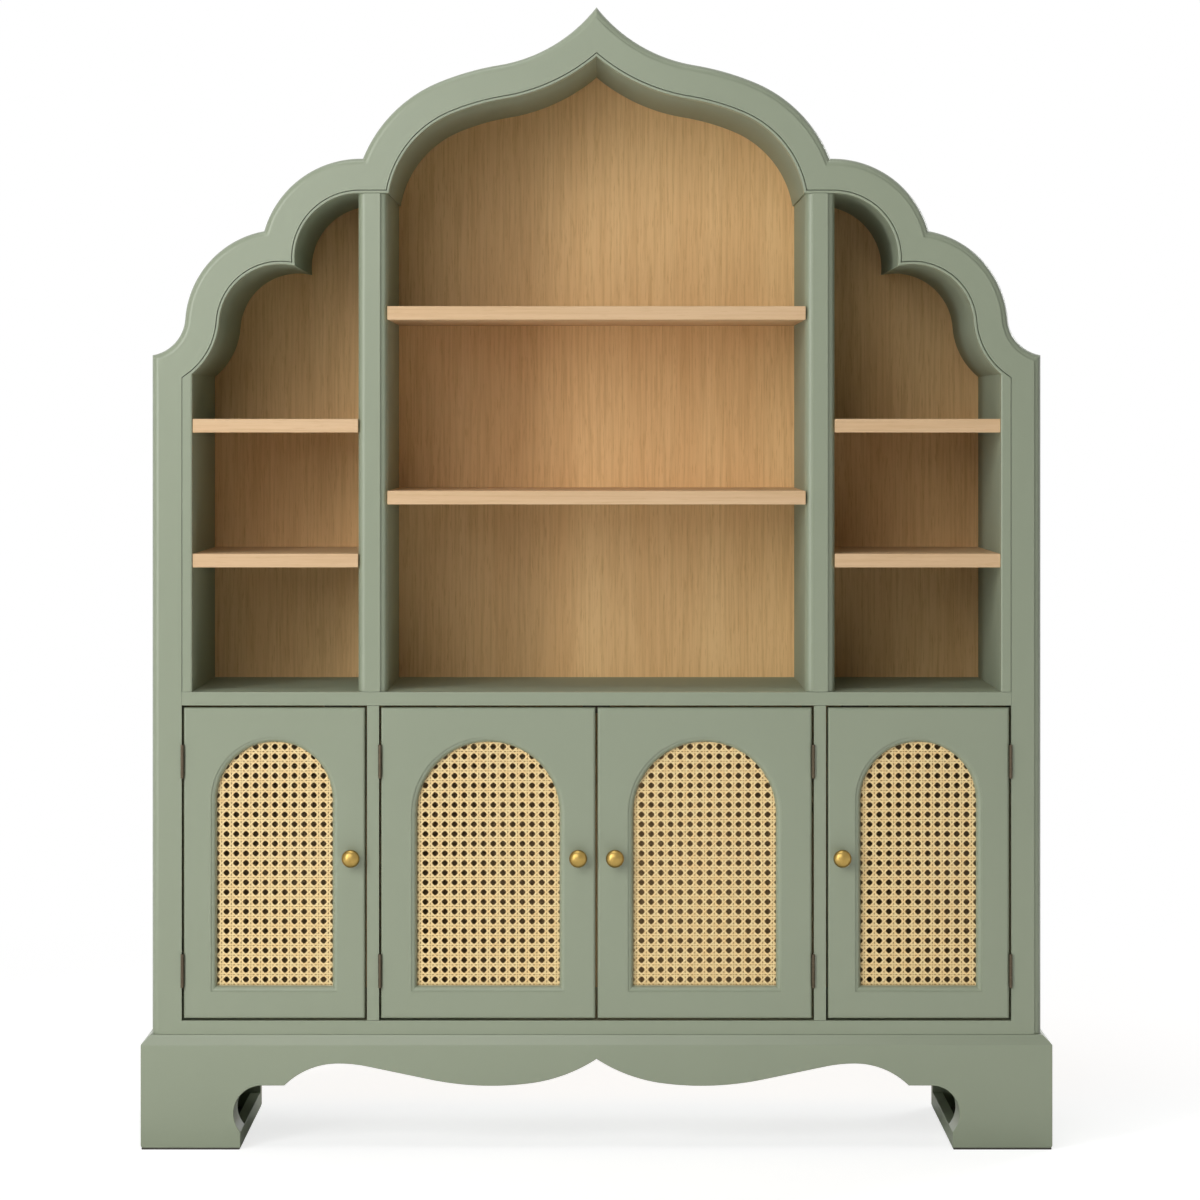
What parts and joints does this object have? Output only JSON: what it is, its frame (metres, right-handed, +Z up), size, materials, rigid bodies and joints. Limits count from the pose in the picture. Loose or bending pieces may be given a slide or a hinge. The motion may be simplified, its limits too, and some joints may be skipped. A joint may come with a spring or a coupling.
{
  "type": "shelving unit",
  "caption": "Tall painted bookcase with an ogee-arched, lobed head over open bays with oak shelves, and a cupboard base with arched cane doors on a scalloped plinth.",
  "frame": {"origin": "on the floor, under the middle of the whole unit, knobs included", "axes": "+X to the right seen from the front, +Y to the back, +Z up; the doors face -Y"},
  "size_m": [1.516, 0.398, 1.9023],
  "materials": {
    "sage_paint": "satin paint",
    "oak_veneer": "matt lacquer",
    "cane": "natural",
    "aged_brass": "satin",
    "bronze": "dark satin",
    "birch_ply": "raw",
    "brown_plastic": "matt"
  },
  "bodies": {
    "root": {"plinth_front": "sage_paint", "plinth_back": "sage_paint", "plinth_left": "sage_paint", "plinth_right": "sage_paint", "foot_runner_left": "sage_paint", "foot_runner_right": "sage_paint", "cabinet_floor": "sage_paint", "deck": "sage_paint", "side_panel_left": "sage_paint", "side_panel_right": "sage_paint", "stile_left": "sage_paint", "stile_right": "sage_paint", "lower_partition_left": "sage_paint", "lower_partition_right": "sage_paint", "back_panel_lower": "birch_ply", "back_panel_upper": "oak_veneer", "arch_front": "sage_paint", "roof": "sage_paint", "lining_left": "sage_paint", "lining_right": "sage_paint", "soffit_centre": "sage_paint", "upper_partition_left": "sage_paint", "upper_partition_right": "sage_paint", "shelf_centre_lower": "oak_veneer", "shelf_centre_upper": "oak_veneer", "shelf_left_lower": "oak_veneer", "shelf_left_upper": "oak_veneer", "shelf_right_lower": "oak_veneer", "shelf_right_upper": "oak_veneer", "magnetic_catch_left": "brown_plastic", "magnetic_catch_centre": "brown_plastic", "magnetic_catch_right": "brown_plastic", "left_outer_upper_hinge_frame_leaf": "bronze", "left_outer_lower_hinge_frame_leaf": "bronze", "left_inner_upper_hinge_frame_leaf": "bronze", "left_inner_lower_hinge_frame_leaf": "bronze", "right_inner_upper_hinge_frame_leaf": "bronze", "right_inner_lower_hinge_frame_leaf": "bronze", "right_outer_upper_hinge_frame_leaf": "bronze", "right_outer_lower_hinge_frame_leaf": "bronze"},
    "left_outer_door": {"left_outer_door_frame": "sage_paint", "left_outer_door_cane": "cane", "left_outer_door_knob": "aged_brass", "left_outer_upper_hinge_door_leaf": "bronze", "left_outer_lower_hinge_door_leaf": "bronze"},
    "left_inner_door": {"left_inner_door_frame": "sage_paint", "left_inner_door_cane": "cane", "left_inner_door_knob": "aged_brass", "left_inner_upper_hinge_door_leaf": "bronze", "left_inner_lower_hinge_door_leaf": "bronze"},
    "right_inner_door": {"right_inner_door_frame": "sage_paint", "right_inner_door_cane": "cane", "right_inner_door_knob": "aged_brass", "right_inner_upper_hinge_door_leaf": "bronze", "right_inner_lower_hinge_door_leaf": "bronze"},
    "right_outer_door": {"right_outer_door_frame": "sage_paint", "right_outer_door_cane": "cane", "right_outer_door_knob": "aged_brass", "right_outer_upper_hinge_door_leaf": "bronze", "right_outer_lower_hinge_door_leaf": "bronze"}
  },
  "joints": [
    {"name": "left_outer_door_hinge", "type": "hinge", "parent": "root", "child": "left_outer_door", "pos_m": [-0.69, -0.17205, 0.4745], "axis": [0, 0, -1], "range_deg": [0, 170]},
    {"name": "left_inner_door_hinge", "type": "hinge", "parent": "root", "child": "left_inner_door", "pos_m": [-0.361, -0.17205, 0.4745], "axis": [0, 0, -1], "range_deg": [0, 120]},
    {"name": "right_inner_door_hinge", "type": "hinge", "parent": "root", "child": "right_inner_door", "pos_m": [0.361, -0.17205, 0.4745], "axis": [0, 0, 1], "range_deg": [0, 120]},
    {"name": "right_outer_door_hinge", "type": "hinge", "parent": "root", "child": "right_outer_door", "pos_m": [0.69, -0.17205, 0.4745], "axis": [0, 0, 1], "range_deg": [0, 170]}
  ]
}
